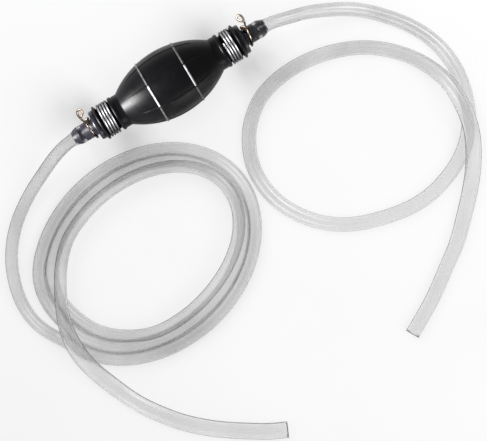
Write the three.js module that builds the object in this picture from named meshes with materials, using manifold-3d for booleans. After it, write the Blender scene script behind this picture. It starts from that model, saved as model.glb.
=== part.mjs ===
// Hand-primed siphon pump with two clear hoses: a rubber squeeze bulb between two barbed
// fittings, each with a one-way valve, wound wire clamps on the necks, spring-wire hose
// clips, a long coiled outlet hose and a short looped inlet hose.
//
// Millimetres, +Z up. The bulb lies on the ground with its axis along X; the origin is on
// the ground under the middle of the bulb. The inlet (short hose) is on +X, the outlet
// (long hose) on -X, so water flows towards -X.

import * as THREE from 'three';
import { mergeVertices } from 'three/addons/utils/BufferGeometryUtils.js';
import Module from 'manifold-3d';

const wasm = await Module();
wasm.setup();

// ---------------------------------------------------------------- driving dimensions

const GAP = 0.3;              // clearance between pieces that touch
const AXIS_Z = 27;            // the bulb's axis above the ground

const BULB_R = 27;            // largest outer radius
const BULB_HALF = 41;         // middle of the bulb to where the neck starts
const BULB_WALL = 2.6;
const RIB_X = 16;             // the two ribs round the bulb
const RIB_HALF_WIDTH = 0.9;
const RIB_HEIGHT = 0.7;
const NECK_R = 13.9;
const NECK_BORE_R = 10.1;
const CUFF_END = 49.5;        // where the wire's groove starts
const GROOVE_END = 60.6;
const GROOVE_R = 11.5;
const LIP_R = 14.5;
const NECK_END = 63.5;

const PANEL_HALF_X = 14;      // the stretch of wall that a thumb presses
const PANEL_HALF_Y = 11;

const WRAP_WIRE_R = 1.1;      // wound wire clamp on each neck
const WRAP_R = 12.95;
const WRAP_PITCH = 2.3;

const SPIGOT_START = 44.5;    // end fitting, measured outwards along the axis
const SPIGOT_R = NECK_BORE_R - GAP;
const FLANGE_START = NECK_END + GAP;
const FLANGE_END = 67.3;
const FLANGE_R = 12.2;
const SHANK_R = 6.1;
const BARB_GROOVE = 78;
const BARB_RIDGE = 80.8;
const BARB_GROOVE_R = 5;
const BARB_R = 6.3;
const BARB_TIP = 86.8;
const BARB_TIP_R = 4;
const BARB_BORE_R = 2.6;
const CHAMBER_R = 7.6;        // valve chamber inside the spigot
const CHAMBER_END = 64;

const VALVE_DISC_R = 6.2;
const VALVE_DISC_THICK = 1.6;
const VALVE_STEM_R = 1.4;
const SEAL_THICK = 0.8;
const SEAL_IN_R = 3.5;
const SEAL_OUT_R = 5.8;
const SPRING_R = 3.6;
const SPRING_WIRE_R = 0.35;
const SPRING_TURNS = 4.5;
const INSERT_R = CHAMBER_R - GAP;  // retainer and seat ring, pressed into the chamber
const RETAINER_START = 47.5;
const RETAINER_THICK = 2;
const SEAT_START = 46;
const SEAT_THICK = 2.5;
const SEAT_BORE_R = 3.2;

const HOSE_R = 5;             // 10 mm outside, 8 mm bore
const SLEEVE_R = 7.1;         // the hose end stretched over the barb
const SLEEVE_START = FLANGE_END + GAP;

const CLIP_WIRE_R = 0.85;      // spring-wire hose clip
const CLIP_R = SLEEVE_R + GAP + CLIP_WIRE_R;
const CLIP_X = 73.6;          // where the front tab stands
const CLIP_DRIFT = 3.5;       // how far the wire creeps towards the flange
const CLIP_HINGE_DEG = -155;  // back of the ring, where it flexes
const CLIP_CURL_DEG = -335;   // the other tab, more than one turn round

const COIL_CENTRE = [-85.2, -106];   // long hose's coil, three turns round an ellipse
const COIL_HALF_LONG = 95.3;           // centreline of the outermost turn
const COIL_HALF_SHORT = 74.5;
const COIL_TURN_DEG = 11;
const COIL_INNER_R = 52.6;           // inside edge, on the short half-axis
const COIL_HEIGHT = 20.2;

// Hose routes, hand chosen, from the barb's tip to where the coil or the cut end is.
const LEAD_ROUTE = [
  [-87, 0, 27], [-96, -1, 26.2], [-107, -3.7, 22.4], [-121, -8.8, 14.6], [-137, -15.5, 8.1],
  [-151, -23.6, 5.5], [-163.5, -33.4, 5], [-174, -45, 5], [-182, -58, 5], [-187.3, -71, 5],
  [-190.6, -85, 5], [-191.2, -98.5, 5], [-188.7, -111, 5], [-183.4, -122.5, 5], [-177.3, -131.5, 5],
];
const TAIL_ROUTE = [
  [-148.8, -80.5, 12.6], [-154.3, -89.4, 13.4], [-159.7, -99, 14.7], [-164.8, -110, 15.3],
  [-168.8, -122, 15.6], [-170.8, -134, 15.5], [-171, -146, 15], [-169.3, -158, 13.6],
  [-166.2, -170, 10.4], [-162, -182, 7], [-157, -195, 4.8], [-151, -207, 3.9], [-143, -219, 3.6],
  [-132, -233, 3.6], [-119, -246, 3.6], [-103.3, -258.5, 3.6], [-86.8, -269.4, 3.6],
  [-73, -277.9, 3.6], [-60, -283.9, 3.6],
];
const SHORT_ROUTE = [
  [87, 0, 27], [95, -1, 26.5], [105, -3.4, 23.4], [120, -6.5, 18], [135, -12, 12], [150, -19, 7.5],
  [163, -28, 5.2], [175, -40, 4.6], [185, -52, 4.4], [193, -65, 4.4], [199, -80, 4.4],
  [201.6, -95, 4.4], [201.6, -110, 4.4], [198.6, -124.5, 4.4], [192.8, -140, 4.4], [183.4, -154.6, 4.4],
  [168.8, -167.2, 4.4], [148.8, -176.6, 4.4], [128.7, -181.2, 4.4], [108.6, -180.8, 4.4],
  [89.6, -176.8, 4.4], [73.6, -171.8, 4.4], [59.6, -164.8, 4.4], [47.6, -155.7, 4.4], [36.8, -143.5, 4.4],
  [28.5, -130, 4.4], [23.5, -116, 4.4], [21.8, -101, 4.4], [23.4, -87.2, 4.4], [28.1, -74.6, 4.4],
  [35, -62.9, 4.4], [44, -53.5, 4.4], [55.4, -45.5, 4.4], [71.4, -40, 4.4], [88.4, -38, 4.4],
  [105.5, -38.8, 4.4], [122.5, -42.2, 4.4], [138.6, -48, 4.4], [153.6, -56.4, 4.4], [166.4, -67.4, 5],
  [177, -80.3, 7.5], [184.4, -95, 11.5], [188.8, -110, 15], [189.8, -126, 16], [188.6, -141, 15.8],
  [185, -155.5, 14.6], [179.3, -168.2, 11], [171.7, -181.4, 7], [160.3, -195.6, 4.8],
  [146.6, -209.8, 4.4], [132, -224, 4.4], [113, -238, 4.4], [92, -253, 4.4], [73, -264, 4.4],
  [64, -269, 4.4],
];
// Where a hose lies flattened: [share of its length, how many times wider than round].
const LEAD_WIDTHS = [[0, 1], [1, 1]];
const TAIL_WIDTHS = [[0, 1], [0.13, 1], [0.27, 1.32], [1, 1.32]];
const SHORT_WIDTHS = [
  [0, 1], [0.02, 1], [0.07, 1.1], [0.25, 1.15], [0.72, 1.15], [0.8, 1.27], [0.86, 1.27], [0.93, 1.15],
  [1, 1.15],
];
const FLATTENING = 0.9;       // how much height goes for each share of width gained
const HOSE_STEP = 24;         // a step of hose tube, about 2.5 diameters
const HOSE_SIDES = 10;

const deg = THREE.MathUtils.degToRad;

// ---------------------------------------------------------------- materials

const material = (color, roughness, metalness = 0, extra = {}) =>
  new THREE.MeshStandardMaterial({ color, roughness, metalness, ...extra });

const rubber = material(0x17161a, 0.55);
const plastic = material(0x121217, 0.4);
const steel = material(0xd4d6d8, 0.25, 1);
const gold = material(0xb98c4a, 0.35, 1);
const pvc = material(0xdcdedd, 0.15, 0, { transparent: true, opacity: 0.6 });
const valvePlastic = material(0xe6e3da, 0.4);
const sealRubber = material(0x2a2a2c, 0.6);

// ---------------------------------------------------------------- shape helpers

// A closed outline of [radius, position] pairs turned about X.
function revolve(outline, segments = 28) {
  const area = THREE.ShapeUtils.area(outline.map(([r, x]) => new THREE.Vector2(r, x)));
  const ordered = area > 0 ? outline : [...outline].reverse();
  const points = [...ordered, ordered[0]].map(([r, x]) => new THREE.Vector2(r, x));
  return new THREE.LatheGeometry(points, segments).rotateZ(-Math.PI / 2);
}

function circle(radius, sides) {
  const points = [];
  for (let i = 0; i < sides; i++) {
    const a = (2 * Math.PI * i) / sides;
    points.push(new THREE.Vector2(radius * Math.cos(a), radius * Math.sin(a)));
  }
  return new THREE.Shape(points);
}

// A round bar along a smooth curve through the points.
function bar(points, radius, steps, sides = 8) {
  const curve = new THREE.CatmullRomCurve3(points, false, 'centripetal');
  return new THREE.ExtrudeGeometry(circle(radius, sides), {
    steps, extrudePath: curve, bevelEnabled: false, curveSegments: 1,
  });
}

function solidOf(geometry) {
  const bare = geometry.index ? geometry.toNonIndexed() : geometry.clone();
  bare.deleteAttribute('normal');
  bare.deleteAttribute('uv');
  const merged = mergeVertices(bare, 1e-4);
  return new wasm.Manifold(new wasm.Mesh({
    numProp: 3,
    vertProperties: new Float32Array(merged.attributes.position.array),
    triVerts: new Uint32Array(merged.index.array),
  }));
}

function geometryOf(solid) {
  const mesh = solid.getMesh();
  const geometry = new THREE.BufferGeometry();
  geometry.setAttribute('position', new THREE.BufferAttribute(new Float32Array(mesh.vertProperties), 3));
  geometry.setIndex(new THREE.BufferAttribute(new Uint32Array(mesh.triVerts), 1));
  return geometry;
}

const siphon = new THREE.Group();

function add(name, geometry, mat, parent = siphon) {
  const mesh = new THREE.Mesh(geometry, mat);
  mesh.name = name;
  parent.add(mesh);
  return mesh;
}

// A group on the bulb's axis whose own +X points outwards, away from the bulb.
function endGroup(side) {
  const group = new THREE.Group();
  group.position.z = AXIS_Z;
  group.rotation.z = side < 0 ? Math.PI : 0;
  siphon.add(group);
  return group;
}

// A point round the bulb's axis. Zero degrees is up and 90 is towards +Y.
const aroundAxis = (x, radius, angle) =>
  new THREE.Vector3(x, radius * Math.sin(deg(angle)), AXIS_Z + radius * Math.cos(deg(angle)));

// ---------------------------------------------------------------- bulb

const SHOULDER_DROP = BULB_R - NECK_R;
const BULB_ARC_R = (BULB_HALF ** 2 + SHOULDER_DROP ** 2) / (2 * SHOULDER_DROP);
const bulbRadius = (x) => Math.sqrt(BULB_ARC_R ** 2 - x ** 2) - (BULB_ARC_R - BULB_R);

function halfOutside() {
  const outline = [];
  for (const x of [0, 5, 10, RIB_X - RIB_HALF_WIDTH]) outline.push([bulbRadius(x), x]);
  outline.push([bulbRadius(RIB_X) + RIB_HEIGHT, RIB_X - RIB_HALF_WIDTH / 3]);
  outline.push([bulbRadius(RIB_X) + RIB_HEIGHT, RIB_X + RIB_HALF_WIDTH / 3]);
  for (const x of [RIB_X + RIB_HALF_WIDTH, 22, 27, 32, 37, BULB_HALF]) outline.push([bulbRadius(x), x]);
  outline.push([NECK_R, CUFF_END], [GROOVE_R, CUFF_END], [GROOVE_R, GROOVE_END]);
  outline.push([LIP_R, GROOVE_END + 1.5], [LIP_R - 1.2, NECK_END], [NECK_BORE_R, NECK_END]);
  return outline;
}

function halfInside() {
  const outline = [];
  for (const x of [37, 29, 20, 10]) outline.push([bulbRadius(x) - BULB_WALL, x]);
  return [[NECK_BORE_R, BULB_HALF + 1], ...outline];
}

function bulbShell() {
  const right = [...halfOutside(), ...halfInside()];
  const left = right.slice(1).map(([r, x]) => [r, -x]).reverse();
  return solidOf(revolve([...right, [BULB_R - BULB_WALL, 0], ...left], 36).translate(0, 0, AXIS_Z));
}

// An upright bar of oval section, as wide as the pressed stretch of wall less or plus a margin.
function pressTool(margin) {
  const oval = circle(1, 32);
  const tool = new THREE.ExtrudeGeometry(oval, { depth: BULB_R * 2, bevelEnabled: false });
  tool.scale(PANEL_HALF_X + margin, PANEL_HALF_Y + margin, 1);
  return solidOf(tool.translate(0, 0, AXIS_Z));
}

function makeBulb() {
  const shell = bulbShell();
  add('bulb', geometryOf(shell.subtract(pressTool(GAP / 2))), rubber);
  add('bulb_squeeze_panel', geometryOf(shell.intersect(pressTool(-GAP / 2))), rubber);
}

// ---------------------------------------------------------------- wound wire clamps

function wrap(side, firstX, firstAngle, sweep) {
  const points = [];
  const count = Math.round(Math.abs(sweep) / 15);
  for (let i = 0; i <= count; i++) {
    const turned = (sweep * i) / count;
    const x = firstX + (WRAP_PITCH * Math.abs(turned)) / 360;
    points.push(aroundAxis(side * x, WRAP_R, firstAngle + turned));
  }
  return bar(points, WRAP_WIRE_R, Math.round(Math.abs(sweep) / 20), 6);
}

function makeWraps() {
  add('inlet_neck_wire_clamp', wrap(1, 50.75, 15, -1390), steel);
  add('outlet_neck_wire_clamp', wrap(-1, 50.75, 185, -1380), steel);
}

// ---------------------------------------------------------------- end fittings

function fitting() {
  return revolve([
    [CHAMBER_R, SPIGOT_START], [SPIGOT_R, SPIGOT_START], [SPIGOT_R, FLANGE_START],
    [FLANGE_R, FLANGE_START], [FLANGE_R, FLANGE_END - 0.6], [FLANGE_R - 0.6, FLANGE_END],
    [SHANK_R, FLANGE_END], [SHANK_R, BARB_GROOVE], [BARB_GROOVE_R, BARB_GROOVE],
    [BARB_GROOVE_R, BARB_RIDGE], [BARB_R, BARB_RIDGE + 0.3], [BARB_TIP_R, BARB_TIP],
    [BARB_BORE_R, BARB_TIP], [BARB_BORE_R, CHAMBER_END], [CHAMBER_R, CHAMBER_END],
  ]);
}

// ---------------------------------------------------------------- one-way valves

const ring = (innerR, outerR, start, thick) =>
  revolve([[innerR, start], [outerR, start], [outerR, start + thick], [innerR, start + thick]], 24);

// A disc with a guide stem. The stem runs from the disc to stemEnd.
function poppet(discStart, stemEnd) {
  const discEnd = discStart + VALVE_DISC_THICK;
  const outline = stemEnd < discStart
    ? [[0, stemEnd], [VALVE_STEM_R, stemEnd], [VALVE_STEM_R, discStart], [VALVE_DISC_R, discStart],
      [VALVE_DISC_R, discEnd], [0, discEnd]]
    : [[0, discStart], [VALVE_DISC_R, discStart], [VALVE_DISC_R, discEnd], [VALVE_STEM_R, discEnd],
      [VALVE_STEM_R, stemEnd], [0, stemEnd]];
  const points = outline.map(([r, x]) => new THREE.Vector2(r, x));
  return new THREE.LatheGeometry(points, 24).rotateZ(-Math.PI / 2);
}

function valveSpring(start, end) {
  const points = [];
  const first = start + GAP + SPRING_WIRE_R;
  const length = end - start - 2 * (GAP + SPRING_WIRE_R);
  const count = SPRING_TURNS * 12;
  for (let i = 0; i <= count; i++) {
    const a = (2 * Math.PI * SPRING_TURNS * i) / count;
    points.push(new THREE.Vector3(first + (length * i) / count, SPRING_R * Math.cos(a), SPRING_R * Math.sin(a)));
  }
  return bar(points, SPRING_WIRE_R, count, 6);
}

// A pressed-in ring with a guide hub on three arms.
function springRetainer() {
  const plate = circle(INSERT_R, 24);
  const hub = new THREE.Path(circle(VALVE_STEM_R + 0.4, 16).getPoints().reverse());
  plate.holes.push(hub);
  for (let i = 0; i < 3; i++) {
    const from = deg(120 * i + 14);
    const to = deg(120 * i + 106);
    const slot = new THREE.Path();
    slot.absarc(0, 0, 5.6, from, to, false);
    slot.absarc(0, 0, 3.1, to, from, true);
    slot.closePath();
    plate.holes.push(slot);
  }
  const shape = new THREE.ExtrudeGeometry(plate, { depth: RETAINER_THICK, bevelEnabled: false, curveSegments: 5 });
  return shape.rotateY(Math.PI / 2).translate(RETAINER_START, 0, 0);
}

// The inlet valve's disc closes outwards against the chamber's end and opens into the bulb.
function makeInletValve(group) {
  const sealStart = CHAMBER_END - GAP - SEAL_THICK;
  const discStart = sealStart - GAP - VALVE_DISC_THICK;
  const retainerEnd = RETAINER_START + RETAINER_THICK;
  add('inlet_valve_seal', ring(SEAL_IN_R, SEAL_OUT_R, sealStart, SEAL_THICK), sealRubber, group);
  add('inlet_valve_disc', poppet(discStart, RETAINER_START - 1), valvePlastic, group);
  add('inlet_valve_spring', valveSpring(retainerEnd, discStart), steel, group);
  add('inlet_spring_retainer', springRetainer(), valvePlastic, group);
}

// The outlet valve's disc closes towards the bulb against a pressed-in seat and opens outwards.
function makeOutletValve(group) {
  const sealStart = SEAT_START + SEAT_THICK + GAP;
  const discStart = sealStart + SEAL_THICK + GAP;
  const discEnd = discStart + VALVE_DISC_THICK;
  add('outlet_valve_seat', ring(SEAT_BORE_R, INSERT_R, SEAT_START, SEAT_THICK), valvePlastic, group);
  add('outlet_valve_seal', ring(SEAL_IN_R, SEAL_OUT_R, sealStart, SEAL_THICK), sealRubber, group);
  add('outlet_valve_disc', poppet(discStart, CHAMBER_END - 2), valvePlastic, group);
  add('outlet_valve_spring', valveSpring(discEnd, CHAMBER_END), steel, group);
}

// ---------------------------------------------------------------- hose clips

// How far out along the axis the clip's wire is when it has turned to this angle.
function clipX(angle) {
  const front = Math.min(90 - angle, 180) / 180;
  return CLIP_X - CLIP_DRIFT * front;
}

function clipArc(side, from, to) {
  const points = [];
  const count = Math.round(Math.abs(to - from) / 12);
  for (let i = 0; i <= count; i++) {
    const angle = from + ((to - from) * i) / count;
    points.push(aroundAxis(side * clipX(angle), CLIP_R, angle));
  }
  return points;
}

// An eye at the wire's end, from its tip to its neck: [across, out from the axis, turned degrees].
const TAB_EYE = [
  [0.1, 11.2, -11], [-1.4, 12.3, -9], [-2.8, 13.9, -6], [-3.3, 15.5, -4], [-2.5, 17, -3],
  [-0.9, 17.5, -2], [0.5, 16.6, -1], [1.1, 14.8, 0], [1, 12.6, 0], [0.5, 10.4, 1],
];
const CURL_EYE = [
  [0.4, 9.3, -3], [1.3, 10.4, -2], [1.6, 11.9, 2], [0.7, 13.3, 5], [-0.8, 13.2, 8],
  [-1.5, 11.9, 11], [-0.8, 10.6, 14],
];

function eye(side, points, angle, x) {
  return points.map(([across, out, turn]) => aroundAxis(side * (x + across), out, angle + turn));
}

function makeClip(side, name) {
  const hinge = CLIP_HINGE_DEG;
  const split = THREE.MathUtils.radToDeg(GAP / 2 / CLIP_R);
  const fixed = [...eye(side, TAB_EYE, 90, CLIP_X), ...clipArc(side, 74, hinge + split)];
  const moving = [...clipArc(side, hinge - split, CLIP_CURL_DEG + 12),
    ...eye(side, CURL_EYE, CLIP_CURL_DEG, clipX(CLIP_CURL_DEG))];
  add(`${name}_hose_clip`, bar(fixed, CLIP_WIRE_R, 44, 6), gold);
  add(`${name}_hose_clip_arm`, bar(moving, CLIP_WIRE_R, 34, 6), gold);
}

// ---------------------------------------------------------------- hoses

// How many times wider than round a hose is at this share of its length.
function widthAt(widths, share) {
  const next = Math.max(1, widths.findIndex(([at]) => at >= share));
  const [from, low] = widths[next - 1];
  const [to, high] = widths[next];
  return low + ((high - low) * (share - from)) / (to - from);
}

// A hose along a route: a round bar, flattened where the widths say so, with its width level.
function hoseTube(route, widths) {
  const points = route.map((p) => new THREE.Vector3(...p));
  const curve = new THREE.CatmullRomCurve3(points, false, 'centripetal');
  const steps = Math.ceil(curve.getLength() / HOSE_STEP);
  const tube = bar(points, HOSE_R, steps, HOSE_SIDES);
  const centres = curve.getSpacedPoints(steps);
  const vertices = tube.attributes.position;
  for (let i = 0; i < vertices.count; i++) {
    const vertex = new THREE.Vector3().fromBufferAttribute(vertices, i);
    const distances = centres.map((centre) => centre.distanceTo(vertex));
    const ring = distances.indexOf(Math.min(...distances));
    const wider = widthAt(widths, ring / steps);
    const along = curve.getTangentAt(ring / steps);
    const across = new THREE.Vector3(-along.y, along.x, 0).normalize();
    const up = new THREE.Vector3().crossVectors(along, across);
    const out = vertex.clone().sub(centres[ring]);
    vertex.addScaledVector(across, out.dot(across) * (wider - 1));
    vertex.addScaledVector(up, -out.dot(up) * FLATTENING * (wider - 1));
    vertices.setXYZ(i, ...vertex.toArray());
  }
  return tube;
}

// The route with its first point moved from the barb's tip to inside the sleeve's closed end.
const fromSleeve = (route, side) => [[side * (BARB_TIP + 2), 0, AXIS_Z], ...route.slice(1)];

// The stretched end over a barb, open towards the flange and closed where the tube begins.
function sleeve(side) {
  const clear = BARB_R + GAP;
  const closed = BARB_TIP + GAP;
  const outline = [
    [clear, SLEEVE_START], [SLEEVE_R, SLEEVE_START], [SLEEVE_R, BARB_TIP - 1.5], [HOSE_R, BARB_TIP + 3],
    [HOSE_R, BARB_TIP + 4], [0, BARB_TIP + 4], [0, closed], [BARB_TIP_R + GAP, closed],
    [clear, BARB_RIDGE + 0.8],
  ];
  const points = outline.map(([r, x]) => new THREE.Vector2(r, x));
  const open = [points[5], ...[...points.slice(0, 5)].reverse(), points[8], points[7], points[6]];
  const geometry = new THREE.LatheGeometry(open.reverse(), 20).rotateZ(-Math.PI / 2);
  if (side < 0) geometry.rotateZ(Math.PI);
  return solidOf(geometry.translate(0, 0, AXIS_Z));
}

function coilProfile(grow) {
  const outer = COIL_HALF_SHORT + HOSE_R + 0.2 + grow;
  const inner = COIL_INNER_R - grow;
  const low = -grow;
  const high = COIL_HEIGHT + grow;
  return [
    [inner, 2.5], [inner + 2.5, low], [outer - 2.5, low], [outer, 2.5], [outer, 9],
    [outer - 6, high], [inner + 4, high], [inner, high - 4],
  ];
}

// One ring of the coil's outer shape, round an ellipse.
function coilRing(grow = 0) {
  const profile = coilProfile(grow).map(([r, z]) => new THREE.Vector2(r, z));
  const ringShape = new THREE.LatheGeometry([...profile, profile[0]], 48);
  ringShape.rotateX(Math.PI / 2);
  const reach = HOSE_R + 0.2;
  ringShape.scale((COIL_HALF_LONG + reach) / (COIL_HALF_SHORT + reach), 1, 1);
  return ringShape.rotateZ(deg(COIL_TURN_DEG)).translate(...COIL_CENTRE, 0);
}

const largest = (solid) =>
  solid.decompose().sort((a, b) => b.volume() - a.volume())[0];

function makeHoses() {
  const room = solidOf(coilRing(GAP));
  const lead = solidOf(hoseTube(fromSleeve(LEAD_ROUTE, -1), LEAD_WIDTHS)).add(sleeve(-1)).subtract(room);
  const tail = solidOf(hoseTube(TAIL_ROUTE, TAIL_WIDTHS)).subtract(room);
  add('outlet_hose_lead', geometryOf(largest(lead)), pvc);
  add('outlet_hose_coil', coilRing(), pvc);
  add('outlet_hose_tail', geometryOf(largest(tail)), pvc);
  const short = solidOf(hoseTube(fromSleeve(SHORT_ROUTE, 1), SHORT_WIDTHS)).add(sleeve(1));
  add('inlet_hose', geometryOf(short), pvc);
}

// ---------------------------------------------------------------- assembly

makeBulb();
makeWraps();
const inletEnd = endGroup(1);
const outletEnd = endGroup(-1);
add('inlet_fitting', fitting(), plastic, inletEnd);
add('outlet_fitting', fitting(), plastic, outletEnd);
makeInletValve(inletEnd);
makeOutletValve(outletEnd);
makeClip(1, 'inlet');
makeClip(-1, 'outlet');
makeHoses();

export default siphon;
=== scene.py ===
"""Looks of the hand-primed siphon pump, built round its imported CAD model.

Metres, +Z up, in the CAD's own frame: the bulb's axis is along X at AXIS_Z, the inlet with the short
hose is on +X and the outlet with the long coiled hose on -X.
"""

import math

import bmesh
import bpy
import numpy as np
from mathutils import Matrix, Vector


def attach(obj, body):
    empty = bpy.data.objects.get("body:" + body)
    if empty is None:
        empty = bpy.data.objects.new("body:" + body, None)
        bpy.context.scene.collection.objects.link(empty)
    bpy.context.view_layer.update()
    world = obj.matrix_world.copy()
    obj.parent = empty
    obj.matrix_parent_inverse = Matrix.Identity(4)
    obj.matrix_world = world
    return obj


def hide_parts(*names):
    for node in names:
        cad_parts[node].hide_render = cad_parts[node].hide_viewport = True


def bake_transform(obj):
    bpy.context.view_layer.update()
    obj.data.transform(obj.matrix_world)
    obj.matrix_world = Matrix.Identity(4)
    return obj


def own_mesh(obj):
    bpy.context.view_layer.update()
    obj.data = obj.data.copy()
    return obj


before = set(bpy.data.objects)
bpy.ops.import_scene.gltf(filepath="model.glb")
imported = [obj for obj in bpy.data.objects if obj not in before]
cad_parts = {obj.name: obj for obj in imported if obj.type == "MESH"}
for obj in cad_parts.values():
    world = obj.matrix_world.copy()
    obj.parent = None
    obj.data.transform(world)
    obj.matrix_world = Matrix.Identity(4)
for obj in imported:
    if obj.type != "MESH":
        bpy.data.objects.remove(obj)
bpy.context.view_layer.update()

MM = 0.001
AXIS_Z = 27 * MM
SIDES = {"inlet": 1, "outlet": -1}  # which way each end points along X

# ---------------------------------------------------------------- camera

CAMERA_HEIGHT = 1.1
CAMERA_OVER = (-0.0055, -0.1223)
CAMERA_TURN = math.radians(-30.68)  # the bulb lies on the slant in the picture
CAMERA_LENS = 101.6

camera_data = bpy.data.cameras.new("camera")
camera_data.lens = CAMERA_LENS
camera_data.sensor_width = 36
camera = bpy.data.objects.new("camera", camera_data)
camera.location = (*CAMERA_OVER, CAMERA_HEIGHT)
camera.rotation_euler = (0, 0, CAMERA_TURN)
bpy.context.scene.collection.objects.link(camera)
bpy.context.scene.camera = camera


# ---------------------------------------------------------------- lines and swept tubes


def smooth(t):
    t = min(max(t, 0), 1)
    return t * t * (3 - 2 * t)


def spline(points, pieces=40):
    """A centripetal Catmull-Rom line through the points, as many closely spaced points."""
    p = np.array(points, float)
    p = np.vstack([2 * p[0] - p[1], p, 2 * p[-1] - p[-2]])
    line = []
    for i in range(1, len(p) - 2):
        a, b, c, d = p[i - 1 : i + 3]
        t1 = np.linalg.norm(b - a) ** 0.5
        t2 = t1 + np.linalg.norm(c - b) ** 0.5
        t3 = t2 + np.linalg.norm(d - c) ** 0.5
        for t in np.linspace(t1, t2, pieces, endpoint=False):
            ab = a + (b - a) * t / t1
            bc = b + (c - b) * (t - t1) / (t2 - t1)
            cd = c + (d - c) * (t - t2) / (t3 - t2)
            abc = ab + (bc - ab) * t / t2
            bcd = bc + (cd - bc) * (t - t1) / (t3 - t1)
            line.append(abc + (bcd - abc) * (t - t1) / (t2 - t1))
    return np.array([*line, p[-2]])


def lengths(line):
    """How far along the line each of its points is."""
    steps = np.linalg.norm(np.diff(line, axis=0), axis=1)
    return np.concatenate([[0], np.cumsum(steps)])


def at(line, positions):
    """The points at these distances along the line."""
    along = lengths(line)
    return np.stack([np.interp(positions, along, line[:, k]) for k in range(3)], axis=1)


def eased(line, reach):
    """The line with its sharper bends eased over about this length. Its two ends stay."""
    step = 1 * MM
    points = at(line, np.arange(0, lengths(line)[-1] + step / 2, step))
    half = round(reach / step / 2)
    before = 2 * points[0] - points[half:0:-1]
    after = 2 * points[-1] - points[-2 : -half - 2 : -1]
    padded = np.vstack([before, points, after])
    weights = np.hanning(2 * half + 3)[1:-1]
    weights /= weights.sum()
    return np.stack([np.convolve(padded[:, k], weights, "valid") for k in range(3)], axis=1)


def frames_along(line):
    """Two unit vectors across the line at each point, carried along without twisting."""
    tangents = np.gradient(line, axis=0)
    tangents /= np.linalg.norm(tangents, axis=1)[:, None]
    first = np.cross(tangents[0], (0, 0, 1))
    if np.linalg.norm(first) < 0.1:
        first = np.cross(tangents[0], (0, 1, 0))
    across = [first / np.linalg.norm(first)]
    for tangent in tangents[1:]:
        carried = across[-1] - tangent * np.dot(across[-1], tangent)
        across.append(carried / np.linalg.norm(carried))
    across = np.array(across)
    return across, np.cross(tangents, across)


def level_frames(line):
    """Like frames_along, with the first of the two vectors kept level."""
    tangents = np.gradient(line, axis=0)
    tangents /= np.linalg.norm(tangents, axis=1)[:, None]
    across = np.cross((0, 0, 1), tangents)
    across /= np.linalg.norm(across, axis=1)[:, None]
    return across, np.cross(tangents, across)


def mesh_object(name, verts, faces, lay=None):
    """A smooth-shaded object. lay says where each vertex is on its tube or round its axis."""
    mesh = bpy.data.meshes.new(name)
    mesh.from_pydata([tuple(v) for v in verts], [], faces)
    if lay is not None:
        attribute = mesh.attributes.new("lay", "FLOAT_VECTOR", "POINT")
        attribute.data.foreach_set("vector", np.asarray(lay, np.float32).ravel())
    bm = bmesh.new()
    bm.from_mesh(mesh)
    bmesh.ops.recalc_face_normals(bm, faces=bm.faces)
    bm.to_mesh(mesh)
    bm.free()
    mesh.polygons.foreach_set("use_smooth", [True] * len(mesh.polygons))
    obj = bpy.data.objects.new(name, mesh)
    bpy.context.scene.collection.objects.link(obj)
    return obj


def band(first, second, count):
    """Quads between two rings of vertices."""
    return [
        (first + i, first + (i + 1) % count, second + (i + 1) % count, second + i)
        for i in range(count)
    ]


def rings_round(line, radii, sides, wider=None):
    """Rings of points round a line, and where each lies on the tube: round it, and along it."""
    across, other = frames_along(line) if wider is None else level_frames(line)
    angles = 2 * np.pi * np.arange(sides) / sides
    c, s = np.cos(angles), np.sin(angles)
    if wider is not None:
        across = across * wider[:, None]
        other = other * (1 - FLATTENING * (wider - 1))[:, None]
    out = c[None, :, None] * across[:, None, :] + s[None, :, None] * other[:, None, :]
    points = line[:, None, :] + np.asarray(radii)[:, None, None] * out
    along = lengths(line)
    lay = np.zeros_like(points)
    lay[:, :, 0], lay[:, :, 1], lay[:, :, 2] = c, s, along[:, None]
    return points.reshape(-1, 3), lay.reshape(-1, 3)


def wire(name, points, radius, sides=14, step=0.6 * MM):
    """A solid round wire through the points, with rounded ends."""
    line = spline(points, 12)
    total = lengths(line)[-1]
    rounding = np.array([0, 0.06, 0.25, 0.6]) * radius
    middle = np.linspace(radius, total - radius, max(3, int(total / step)))
    positions = np.concatenate([rounding, middle, total - rounding[::-1]])
    edge = np.minimum(positions, total - positions)
    radii = radius * np.sqrt(1 - (1 - np.clip(edge / radius, 0.0004, 1)) ** 2)
    ring_points, lay = rings_round(at(line, positions), radii, sides)
    count = len(positions)
    faces = [f for i in range(count - 1) for f in band(i * sides, (i + 1) * sides, sides)]
    faces.append(tuple(range(sides)))
    faces.append(tuple((count - 1) * sides + i for i in range(sides)))
    return mesh_object(name, ring_points, faces, lay)


def hollow_tube(name, line, outer, bore, wider, sides):
    """An open tube with a wall: outer and bore are the two radii at each point of the line, and
    wider is how many times the tube's width has grown by being pressed flat there."""
    count = len(line)
    outside, outside_lay = rings_round(line, outer, sides, wider)
    inside, inside_lay = rings_round(line, bore, sides, wider)
    inside_start = count * sides
    faces = []
    for i in range(count - 1):
        faces += band(i * sides, (i + 1) * sides, sides)
        faces += band(inside_start + (i + 1) * sides, inside_start + i * sides, sides)
    for i in (0, count - 1):
        faces += band(i * sides, inside_start + i * sides, sides)
    lay = np.vstack([outside_lay, inside_lay])
    obj = mesh_object(name, np.vstack([outside, inside]), faces, lay)
    for cut_face in obj.data.polygons[-2 * sides :]:
        cut_face.use_smooth = False
    return obj


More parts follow.
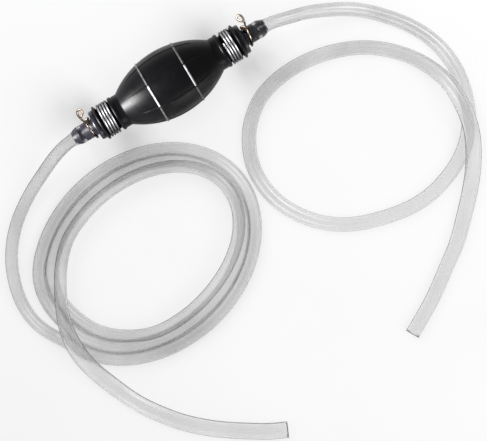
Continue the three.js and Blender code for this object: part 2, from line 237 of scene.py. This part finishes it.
def turned(name, outline, side, angles=None, swell=None):
    """A closed outline of (radius, position) in millimetres, turned about the bulb's axis.
    swell(radius, position, angle) says how much the radius grows there. Angle 0 is up, and a
    quarter turn on is +Y."""
    angles = np.radians(np.arange(0, 360, 3.75)) if angles is None else np.asarray(angles)
    sides = len(angles)
    verts, lay = [], []
    for radius, x in outline:
        for a in angles:
            r = (radius + (swell(radius, x, a) if swell else 0)) * MM
            verts.append((side * x * MM, r * math.sin(a), AXIS_Z + r * math.cos(a)))
            lay.append((math.cos(a), math.sin(a), x * MM))
    faces = []
    for i in range(len(outline)):
        faces += band(i * sides, ((i + 1) % len(outline)) * sides, sides)
    return mesh_object(name, verts, faces, lay)


# ---------------------------------------------------------------- materials


class Nodes:
    """A new material's node tree, with short calls for the nodes that the materials share."""

    def __init__(self, name):
        self.material = bpy.data.materials.new(name)
        self.material.use_nodes = True
        self.tree = self.material.node_tree
        self.shader = self.tree.nodes["Principled BSDF"]

    def node(self, kind, **settings):
        made = self.tree.nodes.new(kind)
        for key, value in settings.items():
            setattr(made, key, value)
        return made

    def link(self, source, target):
        self.tree.links.new(source, target)

    def set(self, **values):
        """Values on the shader's own sockets: base_color=..., roughness=..."""
        for key, value in values.items():
            self.shader.inputs[key.replace("_", " ").title().replace("Ior", "IOR")].default_value = value

    def object_coords(self, scale=(1, 1, 1)):
        return self.scaled(self.node("ShaderNodeTexCoord").outputs["Object"], scale)

    def lay_coords(self, scale=(1, 1, 1)):
        """Round the tube or axis, and along it."""
        return self.scaled(self.node("ShaderNodeAttribute", attribute_name="lay").outputs["Vector"], scale)

    def scaled(self, vector, scale):
        mapping = self.node("ShaderNodeMapping")
        mapping.inputs["Scale"].default_value = scale
        self.link(vector, mapping.inputs["Vector"])
        return mapping.outputs["Vector"]

    def noise(self, vector, scale, detail=3, roughness=0.5):
        made = self.node("ShaderNodeTexNoise")
        made.inputs["Scale"].default_value = scale
        made.inputs["Detail"].default_value = detail
        made.inputs["Roughness"].default_value = roughness
        self.link(vector, made.inputs["Vector"])
        return made.outputs["Fac"]

    def ranged(self, value, low, high, to_low=0.0, to_high=1.0):
        """value from low to high, turned into to_low to to_high."""
        made = self.node("ShaderNodeMapRange")
        for key, number in (("From Min", low), ("From Max", high), ("To Min", to_low), ("To Max", to_high)):
            made.inputs[key].default_value = number
        self.link(value, made.inputs["Value"])
        return made.outputs["Result"]

    def mix(self, share, first, second):
        """Two colours, or two linked colours, mixed by a linked share."""
        made = self.node("ShaderNodeMix", data_type="RGBA")
        self.link(share, made.inputs["Factor"])
        for socket, colour in ((made.inputs[6], first), (made.inputs[7], second)):
            if isinstance(colour, tuple):
                socket.default_value = (*colour, 1)
            else:
                self.link(colour, socket)
        return made.outputs[2]

    def times(self, first, second):
        made = self.node("ShaderNodeMath", operation="MULTIPLY")
        self.link(first, made.inputs[0])
        if isinstance(second, float):
            made.inputs[1].default_value = second
        else:
            self.link(second, made.inputs[1])
        return made.outputs[0]

    def bump(self, height, distance, strength=1.0):
        made = self.node("ShaderNodeBump")
        made.inputs["Distance"].default_value = distance
        made.inputs["Strength"].default_value = strength
        self.link(height, made.inputs["Height"])
        self.link(made.outputs["Normal"], self.shader.inputs["Normal"])


def rubber_material():
    """Moulded bulb rubber: near black with a purple cast, with dust and a painted highlight on the raised
    ribs.
    """
    n = Nodes("bulb_rubber")
    coords = n.object_coords()
    patches = n.ranged(n.noise(coords, 60, 4), 0.35, 0.7)
    body = n.mix(patches, (0.0014, 0.0013, 0.0018), (0.003, 0.0027, 0.0036))
    # The pale colour on the raised ribs is part dust and part painted highlight.
    rib_dust_and_highlight = n.node("ShaderNodeAttribute", attribute_name="rib_dust_and_highlight").outputs["Fac"]
    broken = n.ranged(n.noise(coords, 420, 2), 0.3, 0.6, 0.45, 1.0)
    n.link(n.mix(n.times(rib_dust_and_highlight, broken), body, (0.58, 0.58, 0.6)), n.shader.inputs["Base Color"])
    n.link(n.ranged(n.noise(coords, 150, 5), 0.3, 0.7, 0.31, 0.41), n.shader.inputs["Roughness"])
    n.set(specular_ior_level=0.2)
    n.bump(n.noise(coords, 1500, 3), 0.00003)
    return n.material


def plastic_material():
    """Injection-moulded end fittings, black with a purple cast."""
    n = Nodes("fitting_plastic")
    coords = n.object_coords()
    n.link(
        n.mix(n.ranged(n.noise(coords, 90, 4), 0.3, 0.7), (0.008, 0.008, 0.012), (0.018, 0.016, 0.026)),
        n.shader.inputs["Base Color"],
    )
    n.link(n.ranged(n.noise(coords, 260, 4), 0.3, 0.7, 0.2, 0.34), n.shader.inputs["Roughness"])
    n.bump(n.noise(coords, 700, 2), 0.00002)
    return n.material


def wire_material(name, light, dark, shade_colour, low, high, shade_from=0.9, shade_to=0.5):
    """Drawn wire: metal with fine lines along it, a little tarnish, and a painted shade down its sides."""
    n = Nodes(name)
    lines = n.noise(n.lay_coords((5, 5, 25)), 2, 2)
    tarnish = n.ranged(n.noise(n.object_coords(), 300, 4), 0.35, 0.7)
    # Painted shade: the colour goes to the shade colour where the wire's surface turns away from facing up.
    upward = n.node("ShaderNodeSeparateXYZ")
    n.link(n.node("ShaderNodeNewGeometry").outputs["Normal"], upward.inputs[0])
    sides = n.ranged(upward.outputs["Z"], shade_from, shade_to)
    n.link(n.mix(sides, n.mix(tarnish, light, dark), shade_colour), n.shader.inputs["Base Color"])
    n.link(n.ranged(lines, 0.3, 0.7, low, high), n.shader.inputs["Roughness"])
    n.set(metallic=1.0)
    n.bump(lines, 0.00001)
    return n.material


def moulded_material(name, light, dark, low, high, grain):
    """Plain moulded small parts inside the fittings."""
    n = Nodes(name)
    coords = n.object_coords()
    n.link(n.mix(n.ranged(n.noise(coords, 200, 4), 0.3, 0.7), light, dark), n.shader.inputs["Base Color"])
    n.link(n.ranged(n.noise(coords, 500, 3), 0.3, 0.7, low, high), n.shader.inputs["Roughness"])
    n.bump(n.noise(coords, grain, 3), 0.00002)
    return n.material


UNLIT_SIDE = (-0.6, 0.8, 0)


def hose_material():
    """Clear soft PVC with faint lines along it from the extrusion die. It lets lamplight through,
    hazier in some stretches, and has a painted shade on its edges, darkest along the side that faces away
    from the lamps."""
    n = Nodes("clear_hose")
    lines = n.noise(n.lay_coords((5, 5, 1.2)), 2.2, 2)
    coords = n.object_coords()
    hazier = n.node("ShaderNodeAttribute", attribute_name="haze").outputs["Fac"]
    clear_part = n.mix(n.ranged(n.noise(coords, 25, 4), 0.3, 0.7), (0.99, 0.99, 0.99), (0.95, 0.95, 0.955))
    hazy_part = n.mix(n.ranged(n.noise(coords, 30, 4), 0.35, 0.65), (0.93, 0.93, 0.93), (0.84, 0.84, 0.845))
    # Painted shade: the glass colour darkens where the tube is seen edge-on, for its dark outline.
    facing = n.node("ShaderNodeLayerWeight").outputs["Facing"]
    grazing = n.ranged(facing, 0.6, 0.98)
    body = n.mix(hazier, clear_part, hazy_part)
    edge = n.mix(hazier, (0.7, 0.7, 0.71), (0.45, 0.45, 0.46))
    n.link(n.mix(grazing, body, edge), n.shader.inputs["Base Color"])
    n.link(n.ranged(lines, 0.3, 0.7, 0.2, 0.3), n.shader.inputs["Roughness"])
    n.set(transmission_weight=1.0, ior=1.5, specular_ior_level=0.25)
    n.bump(lines, 0.00003)
    # Painted shade: a grey veil over the rim, on the side facing away from the lamps.
    away = n.node("ShaderNodeVectorMath", operation="DOT_PRODUCT")
    n.link(n.node("ShaderNodeNewGeometry").outputs["Normal"], away.inputs[0])
    away.inputs[1].default_value = UNLIT_SIDE
    rim_share = n.times(n.ranged(facing, 0.45, 0.85), n.ranged(away.outputs["Value"], 0.3, 0.85, 0.0, 0.95))
    rim = n.node("ShaderNodeBsdfTransparent")
    rim.inputs["Color"].default_value = (0.66, 0.66, 0.67, 1)
    rimmed = n.node("ShaderNodeMixShader")
    n.link(rim_share, rimmed.inputs["Fac"])
    n.link(n.shader.outputs["BSDF"], rimmed.inputs[1])
    n.link(rim.outputs["BSDF"], rimmed.inputs[2])
    clear = n.node("ShaderNodeBsdfTransparent")
    clear.inputs["Color"].default_value = (0.96, 0.96, 0.96, 1)
    path = n.node("ShaderNodeLightPath")
    passing = n.node("ShaderNodeMath", operation="MAXIMUM")
    n.link(path.outputs["Is Shadow Ray"], passing.inputs[0])
    n.link(path.outputs["Is Diffuse Ray"], passing.inputs[1])
    both = n.node("ShaderNodeMixShader")
    n.link(passing.outputs[0], both.inputs["Fac"])
    n.link(rimmed.outputs["Shader"], both.inputs[1])
    n.link(clear.outputs["BSDF"], both.inputs[2])
    n.link(both.outputs["Shader"], n.tree.nodes["Material Output"].inputs["Surface"])
    return n.material


def floor_material():
    n = Nodes("floor")
    share = n.ranged(n.noise(n.object_coords(), 9, 3), 0.3, 0.7)
    n.link(n.mix(share, (0.9, 0.9, 0.9), (0.88, 0.88, 0.88)), n.shader.inputs["Base Color"])
    n.set(roughness=0.8, specular_ior_level=0.2)
    return n.material


RUBBER = rubber_material()
PLASTIC = plastic_material()
# Each wire's third colour is its painted shade, down its sides.
STEEL = wire_material(
    "clamp_steel", (0.95, 0.95, 0.96), (0.8, 0.81, 0.83), (0.1, 0.1, 0.11), 0.26, 0.36
)
SPRING_STEEL = wire_material("spring_steel", (0.8, 0.8, 0.8), (0.6, 0.6, 0.6), (0.3, 0.3, 0.3), 0.2, 0.35)
GOLD = wire_material(
    "clip_gold", (0.98, 0.82, 0.68), (0.62, 0.44, 0.33), (0.05, 0.03, 0.015), 0.16, 0.26,
    shade_from=0.97, shade_to=0.7,
)
VALVE = moulded_material("valve_plastic", (0.78, 0.75, 0.68), (0.7, 0.67, 0.6), 0.35, 0.5, 900)
SEAL = moulded_material("seal_rubber", (0.03, 0.03, 0.03), (0.045, 0.045, 0.045), 0.55, 0.7, 1400)
HOSE = hose_material()


def finish_piece(obj, material, slot, *nodes, body="root"):
    """Gives a new piece its material and the CAD nodes it stands for; slot is not used."""
    obj.data.materials.append(material)
    if body is not None:
        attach(obj, body)
    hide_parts(*nodes)
    return obj


# ---------------------------------------------------------------- hoses

HOSE_R = 5.0  # millimetres, as are the sizes below that aren't multiplied by MM
HOSE_BORE_R = 4.0
HOSE_SIDES = 36
SLEEVE_START = 67.6
SLEEVE_END = 89.8  # where the stretched end is back to the free hose's size
RING_STEP = 2.4 * MM
BEND_EASING = 24 * MM

COIL_CENTRE = (-85.2, -106)
COIL_HALF_LONG = 95.3
COIL_HALF_SHORT = 74.5
COIL_TURN = math.radians(11)
STRAND = 10.2  # from one turn to the next
COIL_FROM, COIL_TO = 205, 1222  # degrees, counted on through the three turns
SECOND_TURN, THIRD_TURN = 516, 876  # where the hose starts to move over into each turn
MOVE_OVER = 42  # degrees that moving over takes
LIFT_FROM, LIFT_OVER = 925, 45  # where the third turn climbs, and over how many degrees
HIGH_SIDE = 7  # degrees: the side of the coil where the third turn lies highest

SHORT_HAZE_FROM, SHORT_HAZE_OVER = -160, 110  # along Y, where the short hose grows hazy
COIL_CLEAR_SIDE = -22  # degrees: the coil's clear side, seen from its centre
CLEAR_REACH, CLEAR_FADE = 28, 45  # degrees to each side of it that are clear, and that fade
COIL_EDGE, COIL_EDGE_FADE = 104, 12  # how far from its centre the coil's haze ends
LEAST_HAZE, COIL_HAZE = 0.1, 0.8

LEAD_ROUTE = [
    (-96, -1, 26.2), (-107, -3.7, 22.4), (-121, -8.8, 14.6), (-137, -15.5, 8.1), (-151, -23.6, 5.5),
    (-163.5, -33.4, 5), (-174, -45, 5), (-182, -58, 5), (-187.3, -71, 5), (-190.6, -85, 5),
    (-191.2, -98.5, 5), (-188.7, -111, 5), (-183.4, -122.5, 5), (-177.3, -131.5, 5),
]
TAIL_ROUTE = [
    (-148.8, -80.5, 12.6), (-154.3, -89.4, 13.4), (-159.7, -99, 14.7), (-164.8, -110, 15.3),
    (-168.8, -122, 15.6), (-170.8, -134, 15.5), (-171, -146, 15), (-169.3, -158, 13.6),
    (-166.2, -170, 10.4), (-162, -182, 7), (-157, -195, 4.8), (-151, -207, 3.9), (-143, -219, 3.6),
    (-132, -233, 3.6), (-119, -246, 3.6), (-103.3, -258.5, 3.6), (-86.8, -269.4, 3.6),
    (-73, -277.9, 3.6), (-60, -283.9, 3.6),
]
SHORT_ROUTE = [
    (95, -1, 26.5), (105, -3.4, 23.4), (120, -6.5, 18), (135, -12, 12), (150, -19, 7.5),
    (163, -28, 5.2), (175, -40, 4.6), (185, -52, 4.4), (193, -65, 4.4), (199, -80, 4.4),
    (201.6, -95, 4.4), (201.6, -110, 4.4), (198.6, -124.5, 4.4), (192.8, -140, 4.4), (183.4, -154.6, 4.4),
    (168.8, -167.2, 4.4), (148.8, -176.6, 4.4), (128.7, -181.2, 4.4), (108.6, -180.8, 4.4),
    (89.6, -176.8, 4.4), (73.6, -171.8, 4.4), (59.6, -164.8, 4.4), (47.6, -155.7, 4.4), (36.8, -143.5, 4.4),
    (28.5, -130, 4.4), (23.5, -116, 4.4), (21.8, -101, 4.4), (23.4, -87.2, 4.4), (28.1, -74.6, 4.4),
    (35, -62.9, 4.4), (44, -53.5, 4.4), (55.4, -45.5, 4.4), (71.4, -40, 4.4), (88.4, -38, 4.4),
    (105.5, -38.8, 4.4), (122.5, -42.2, 4.4), (138.6, -48, 4.4), (153.6, -56.4, 4.4), (166.4, -67.4, 5),
    (177, -80.3, 7.5), (184.4, -95, 11.5), (188.8, -110, 15), (189.8, -126, 16), (188.6, -141, 15.8),
    (185, -155.5, 14.6), (179.3, -168.2, 11), (171.7, -181.4, 7), (160.3, -195.6, 4.8),
    (146.6, -209.8, 4.4), (132, -224, 4.4), (113, -238, 4.4), (92, -253, 4.4), (73, -264, 4.4),
    (64, -269, 4.4),
]
# Where a hose lies flattened: the share of the route after the barb, how many times wider than round.
SHORT_WIDTHS = [
    (0, 1), (0.02, 1), (0.07, 1.1), (0.25, 1.15), (0.72, 1.15), (0.8, 1.27), (0.86, 1.27), (0.93, 1.15),
    (1, 1.15),
]
TAIL_WIDTHS = [(0, 1), (0.13, 1), (0.27, 1.32), (1, 1.32)]  # shares of the tail's own length
TAIL_LENGTH = 260 * MM
FLATTENING = 0.9  # how much height goes for each share of width gained

# The stretched end over the barb: how far along the axis, outer radius, bore radius.
SLEEVE = [
    (SLEEVE_START, 6.9, 6.05), (68.2, 7.05, 6.05), (77.4, 7.05, 6.05), (79.4, 6.95, 6.1), (80.8, 7.15, 6.2),
    (81.4, 7.2, 6.2), (83.2, 6.7, 5.5), (85.4, 5.85, 4.6), (87.2, 5.25, 4.1),
    (SLEEVE_END, HOSE_R, HOSE_BORE_R),
]


def coil_point(turned_by):
    """The coil's centreline: one turn outside, one inside it, and one lying over the gap between."""
    theta = math.radians(turned_by)
    long_part = COIL_HALF_LONG * math.sin(theta - COIL_TURN)
    short_part = COIL_HALF_SHORT * math.cos(theta - COIL_TURN)
    ellipse = COIL_HALF_LONG * COIL_HALF_SHORT / math.hypot(long_part, short_part)
    second = smooth((turned_by - SECOND_TURN) / MOVE_OVER)
    third = smooth((turned_by - THIRD_TURN) / MOVE_OVER)
    off_high_side = (turned_by - HIGH_SIDE + 180) % 360 - 180
    lift = math.radians(46 + 34 * math.exp(-((off_high_side / 38) ** 2)))
    lift *= smooth((turned_by - LIFT_FROM) / LIFT_OVER)
    radius = ellipse - STRAND * second - STRAND * third * math.cos(lift)
    height = HOSE_R + STRAND * third * math.sin(lift)
    return (
        COIL_CENTRE[0] + radius * math.cos(theta),
        COIL_CENTRE[1] + radius * math.sin(theta),
        height,
    )


def haze_at(side, x, y):
    """How hazy a hose is: the short one towards the bulb, the coil all but its right-hand side."""
    if side > 0:
        return smooth((y - SHORT_HAZE_FROM) / SHORT_HAZE_OVER)
    dx, dy = x - COIL_CENTRE[0], y - COIL_CENTRE[1]
    off_clear_side = abs((math.degrees(math.atan2(dy, dx)) - COIL_CLEAR_SIDE + 180) % 360 - 180)
    on_coil = 1 - smooth((math.hypot(dx, dy) - COIL_EDGE) / COIL_EDGE_FADE)
    return LEAST_HAZE + COIL_HAZE * on_coil * smooth((off_clear_side - CLEAR_REACH) / CLEAR_FADE)


def make_hose(name, side, route, widths, widths_over, nodes):
    """widths are (share, times wider) over the last widths_over of the hose, or over all of it
    after the barb. A hose that is only wider at its end has little haze there."""
    axis_part = [(side * x, 0, 27) for x in (SLEEVE_START, 72, 77, 82, 87)]
    line = eased(spline(np.array([*axis_part, *route]) * MM), BEND_EASING)
    total = lengths(line)[-1]
    sleeve_at = np.arange(0, SLEEVE_END - SLEEVE_START, 0.8) * MM
    beyond = np.linspace(SLEEVE_END * MM - SLEEVE_START * MM, total, round(total / RING_STEP))
    positions = np.concatenate([sleeve_at, beyond])
    knots = [(x - SLEEVE_START) * MM for x, _, _ in SLEEVE]
    outer = np.interp(positions, knots, [r * MM for _, r, _ in SLEEVE])
    bore = np.interp(positions, knots, [r * MM for _, _, r in SLEEVE])
    centres = at(line, positions)
    shares = 1 - (total - positions) / (widths_over or total - positions[len(sleeve_at)])
    wider = np.interp(shares, [share for share, _ in widths], [times for _, times in widths])
    obj = hollow_tube(name, centres, outer, bore, wider, HOSE_SIDES)
    haze = obj.data.attributes.new("haze", "FLOAT", "POINT")
    clearer = 1 - 0.9 * np.clip(shares / 0.1, 0, 1) if widths_over else np.ones(len(positions))
    ring_haze = clearer * [haze_at(side, x / MM, y / MM) for x, y, _ in centres]
    haze.data.foreach_set("value", np.tile(np.repeat(ring_haze, HOSE_SIDES), 2))
    finish_piece(obj, HOSE, "clear_hose", *nodes)
    print(f"{name}: {total:.3f} m")
    return obj


coil_route = [coil_point(t) for t in range(COIL_FROM, COIL_TO, 8)]
long_hose = make_hose(
    "long_hose", -1, [*LEAD_ROUTE, *coil_route, *TAIL_ROUTE], TAIL_WIDTHS, TAIL_LENGTH,
    ("outlet_hose_lead", "outlet_hose_coil", "outlet_hose_tail"),
)
short_hose = make_hose("short_hose", 1, SHORT_ROUTE, SHORT_WIDTHS, None, ("inlet_hose",))
HOSES = [long_hose, short_hose]


# ---------------------------------------------------------------- squeeze bulb

BULB_R = 27
BULB_HALF = 41
NECK_R = 13.9
RIB_X = 16
SHOULDER_DROP = BULB_R - NECK_R
BULB_ARC_R = (BULB_HALF**2 + SHOULDER_DROP**2) / (2 * SHOULDER_DROP)
LONG_RIBS = [-37 + 45 * i for i in range(8)]  # degrees from the top towards +Y
# Degrees round the axis: the side where the painted highlight on the ribs round the bulb is palest.
RIB_HIGHLIGHT_SIDE = -14.5
NECK_OUTLINE = [
    (13.9, 41), (13.6, 41.5), (13.5, 42.3), (13.5, 46.3), (13.65, 46.7), (14.05, 47.1), (14.15, 47.6),
    (14.15, 48.4), (13.95, 49), (13.3, 49.4), (12, 49.55), (11.5, 49.8), (11.5, 60.2), (11.8, 60.5),
    (12.6, 60.75), (14.2, 61.5), (14.5, 62), (14.4, 62.5), (13.6, 63.2), (13.1, 63.45), (12.7, 63.5),
    (10.4, 63.5), (10.15, 63.4), (10.1, 63.1),
]
BULB_WALL = 2.6


def bulb_radius(x):
    return math.sqrt(BULB_ARC_R**2 - x**2) - (BULB_ARC_R - BULB_R)


def rib_near(angle, reach=2.2):
    """How near an angle is to a lengthwise rib: 1 on its crest, 0 beside it."""
    off = min(abs((math.degrees(angle) - rib + 180) % 360 - 180) for rib in LONG_RIBS)
    return 1 - smooth(off / reach)


def rib_highlight_share(angle):
    """Painted highlight: the ribs round the bulb are painted palest on one side, within about 22 degrees of
    it.
    """
    off = abs((math.degrees(angle) - RIB_HIGHLIGHT_SIDE + 180) % 360 - 180)
    return 1 - 0.82 * smooth((off - 22) / 2)


def rib_profile(x):
    """Height of the two ribs round the bulb, from 0 to 1."""
    return 1 - smooth((abs(abs(x) - RIB_X) - 0.25) / 0.75)


def bulb_swell(radius, x, angle):
    if radius < bulb_radius(x) - 1 or abs(x) > BULB_HALF:
        return 0
    lengthwise = 0.42 * rib_near(angle) * (1 - smooth((abs(x) - 25) / 9))
    across = 0.7 * rib_profile(x) * (1 - 0.75 * rib_near(angle))
    return max(lengthwise, across)


def make_bulb():
    rib_steps = [RIB_X + d for d in (-1.5, -1, -0.8, -0.6, -0.4, -0.2, 0, 0.2, 0.4, 0.6, 0.8, 1, 1.5)]
    xs = [0, 2.5, 5, 7.5, 10, 12.5, *rib_steps, 19, 21, 23, 25, 27, 29, 31, 33, 35, 37, 39, 40.3]
    half = [(bulb_radius(x), x) for x in xs] + NECK_OUTLINE
    half += [(10.1, x) for x in (56, 49, 42)]
    half += [(bulb_radius(x) - BULB_WALL, x) for x in (38, 34, 29, 24, 18, 12, 6)]
    other_half = [(r, -x) for r, x in half[1:]][::-1]
    outline = [*half, (BULB_R - BULB_WALL, 0), *other_half]
    offsets = (-22.5, -17, -11, -6, -3, -2.2, -1.6, -1.1, -0.5, 0, 0.5, 1.1, 1.6, 2.2, 3, 6, 11, 17)
    angles = np.radians([rib + off for rib in LONG_RIBS for off in offsets])
    obj = turned("squeeze_bulb", outline, 1, angles, bulb_swell)
    lay = np.zeros(len(obj.data.vertices) * 3, np.float32)
    obj.data.attributes["lay"].data.foreach_get("vector", lay)
    # How pale each point on the ribs round the bulb is painted: part dust, part painted highlight.
    rib_dust_and_highlight = obj.data.attributes.new("rib_dust_and_highlight", "FLOAT", "POINT")
    values = []
    for (c, s, x), v in zip(lay.reshape(-1, 3), obj.data.vertices):
        radius = math.hypot(v.co.y, v.co.z - AXIS_Z) / MM
        outside = abs(x / MM) < BULB_HALF and radius > bulb_radius(x / MM) - 1
        angle = math.atan2(s, c)
        rib = rib_profile(x / MM) * (1 - rib_near(angle, 3.1)) * rib_highlight_share(angle)
        values.append(rib if outside else 0.0)
    rib_dust_and_highlight.data.foreach_set("value", values)
    obj.data.materials.append(RUBBER)
    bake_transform(obj)
    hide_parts("bulb", "bulb_squeeze_panel")
    return obj


DARK_PIECES = [make_bulb()]  # what the key light shines on

# ---------------------------------------------------------------- wound wire clamps

WRAP_WIRE_R = 1.03
WRAP_R = 12.95
WRAP_PITCH = 2.3
WRAPS = {"inlet": (50.75, 15, -1390), "outlet": (50.75, 185, -1380)}  # first x, first angle, sweep


def around_axis(x, radius, angle):
    a = math.radians(angle)
    return (x * MM, radius * MM * math.sin(a), AXIS_Z + radius * MM * math.cos(a))


for end, (first_x, first_angle, sweep) in WRAPS.items():
    count = abs(sweep) // 10
    turns = [sweep * i / count for i in range(count + 1)]
    points = [
        around_axis(SIDES[end] * (first_x + WRAP_PITCH * abs(turn) / 360), WRAP_R, first_angle + turn)
        for turn in turns
    ]
    wrap = wire(f"{end}_wire_wrap", points, WRAP_WIRE_R * MM, sides=18, step=1.6 * MM)
    finish_piece(wrap, STEEL, "clamp_wire", f"{end}_neck_wire_clamp")

# ---------------------------------------------------------------- barbed end fittings

FITTING_OUTLINE = [
    (7.6, 44.5), (9.5, 44.5), (9.8, 44.8), (9.8, 63.8), (11.9, 63.8), (12.2, 64.1), (12.2, 66.6),
    (12, 67.05), (11.6, 67.3), (6.5, 67.3), (6.1, 67.6), (6.1, 77.7), (5.9, 78), (5, 78.1), (5, 80.7),
    (6.1, 80.8), (6.3, 81.1), (6.2, 81.5), (4.2, 86.5), (3.95, 86.8), (2.6, 86.8), (2.6, 64), (7.6, 64),
]

for end, side in SIDES.items():
    barb = turned(f"{end}_barb_fitting", FITTING_OUTLINE, side)
    DARK_PIECES.append(finish_piece(barb, PLASTIC, "fitting_plastic", f"{end}_fitting"))

# ---------------------------------------------------------------- spring-wire hose clips

CLIP_WIRE_R = 0.85
CLIP_R = 8.25
CLIP_X = 73.6
CLIP_DRIFT = 3.5
CLIP_HINGE = -155
CLIP_CURL = -335
CLIP_SPLIT = math.degrees(0.15 / CLIP_R)
TAB_EYE = [  # across, out from the axis, turned degrees
    (0.1, 11.2, -11), (-1.4, 12.3, -9), (-2.8, 13.9, -6), (-3.3, 15.5, -4), (-2.5, 17, -3),
    (-0.9, 17.5, -2), (0.5, 16.6, -1), (1.1, 14.8, 0), (1, 12.6, 0), (0.5, 10.4, 1),
]
CURL_EYE = [
    (0.4, 9.3, -3), (1.3, 10.4, -2), (1.6, 11.9, 2), (0.7, 13.3, 5), (-0.8, 13.2, 8),
    (-1.5, 11.9, 11), (-0.8, 10.6, 14),
]


def clip_x(angle):
    return CLIP_X - CLIP_DRIFT * min(90 - angle, 180) / 180


def clip_arc(side, start, stop):
    steps = round(abs(stop - start) / 12)
    angles = [start + (stop - start) * i / steps for i in range(steps + 1)]
    return [around_axis(side * clip_x(a), CLIP_R, a) for a in angles]


def clip_eye(side, points, angle, x):
    return [around_axis(side * (x + across), out, angle + turn) for across, out, turn in points]


for end, side in SIDES.items():
    fixed = clip_eye(side, TAB_EYE, 90, CLIP_X) + clip_arc(side, 74, CLIP_HINGE + CLIP_SPLIT)
    moving = clip_arc(side, CLIP_HINGE - CLIP_SPLIT, CLIP_CURL + 12)
    moving += clip_eye(side, CURL_EYE, CLIP_CURL, clip_x(CLIP_CURL))
    finish_piece(
        wire(f"{end}_clip_wire", fixed, CLIP_WIRE_R * MM), GOLD, "clip_wire", f"{end}_hose_clip"
    )
    finish_piece(
        wire(f"{end}_clip_arm_wire", moving, CLIP_WIRE_R * MM), GOLD, "clip_wire",
        f"{end}_hose_clip_arm", body=f"{end}_clip_arm",
    )

# ---------------------------------------------------------------- valves inside the fittings

SPRING_R = 3.6
SPRING_WIRE_R = 0.35
SPRING_TURNS = 4.5
SPRINGS = {"inlet": (49.8, 60.7), "outlet": (-63.7, -51.8)}  # fixed end, moving end


def make_spring(end, fixed_x, moving_x):
    length = abs(moving_x - fixed_x)
    count = int(SPRING_TURNS * 16)
    first = fixed_x + SPRING_WIRE_R
    points = []
    for i in range(count + 1):
        a = 2 * math.pi * SPRING_TURNS * i / count
        x = first + (length - 2 * SPRING_WIRE_R) * i / count
        points.append((x * MM, SPRING_R * MM * math.cos(a), AXIS_Z + SPRING_R * MM * math.sin(a)))
    spring = wire(f"{end}_spring_wire", points, SPRING_WIRE_R * MM, sides=10)
    finish_piece(spring, SPRING_STEEL, "valve_spring_steel", f"{end}_valve_spring")
    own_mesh(spring)


make_spring("inlet", *SPRINGS["inlet"])
# The outlet's spring is fixed at its outer end, so it is given from there too.
make_spring("outlet", *SPRINGS["outlet"])

KEPT_NODES = {
    "inlet_valve_disc": VALVE, "outlet_valve_disc": VALVE, "inlet_spring_retainer": VALVE,
    "outlet_valve_seat": VALVE, "inlet_valve_seal": SEAL, "outlet_valve_seal": SEAL,
}
for node, material in KEPT_NODES.items():
    for material_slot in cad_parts[node].material_slots:
        material_slot.material = material

# ---------------------------------------------------------------- floor and light


def make_floor():
    reach = 3.0
    corners = [(-reach, -reach, 0), (reach, -reach, 0), (reach, reach, 0), (-reach, reach, 0)]
    floor = mesh_object("floor", corners, [(0, 1, 2, 3)])
    floor.location.z = -0.0002
    floor.data.materials.append(floor_material())


def softbox(name, place, target, size, power):
    data = bpy.data.lights.new(name, "AREA")
    data.shape = "RECTANGLE"
    data.size, data.size_y = size
    data.energy = power
    lamp = bpy.data.objects.new(name, data)
    lamp.location = place
    lamp.rotation_euler = (Vector(target) - Vector(place)).to_track_quat("-Z", "Y").to_euler()
    bpy.context.scene.collection.objects.link(lamp)
    return lamp


def linked(lamp, use, pieces, state):
    chosen = bpy.data.collections.new(f"{lamp.name}_{use}")
    for piece in pieces:
        chosen.objects.link(piece)
    for item in chosen.collection_objects:
        item.light_linking.link_state = state
    setattr(lamp.light_linking, f"{use}_collection", chosen)


def shine_only_on(lamp, pieces):
    linked(lamp, "receiver", pieces, "INCLUDE")


def pass_by(lamp, unlit, unshading):
    """The lamp lights none of the first pieces and throws no shadow of the second ones."""
    linked(lamp, "receiver", unlit, "EXCLUDE")
    linked(lamp, "blocker", unshading, "EXCLUDE")


make_floor()
key = softbox("key", (-1.0, 0.12, 0.46), (-0.02, 0, 0.03), (0.4, 0.7), 62)
panel = softbox("panel", (0.25, -1.1, 0.3), (0, 0, 0.03), (0.8, 0.45), 3.5)
streaks = softbox("streaks", (0.95, 0.2, 1.2), (0, -0.12, 0), (0.5, 0.4), 4)
fill = softbox("fill", (1.0, -1.1, 1.5), (0, -0.12, 0), (1.4, 1.4), 26)
back = softbox("back", (-0.3, 1.3, 1.5), (0, -0.12, 0), (1.6, 1.2), 26)
shine_only_on(key, DARK_PIECES)
shine_only_on(panel, DARK_PIECES)
shine_only_on(streaks, HOSES)
streaks.visible_diffuse = False
for lamp in (streaks, fill, back):
    lamp.visible_transmission = False  # no glare from inside the hoses' walls
for lamp in (fill, back):
    pass_by(lamp, [*DARK_PIECES, *HOSES], DARK_PIECES)

world = bpy.data.worlds.new("studio")
world.use_nodes = True
world.node_tree.nodes["Background"].inputs["Color"].default_value = (0.86, 0.86, 0.87, 1)
world.node_tree.nodes["Background"].inputs["Strength"].default_value = 0.36
bpy.context.scene.world = world
bpy.context.scene.view_settings.view_transform = "Standard"
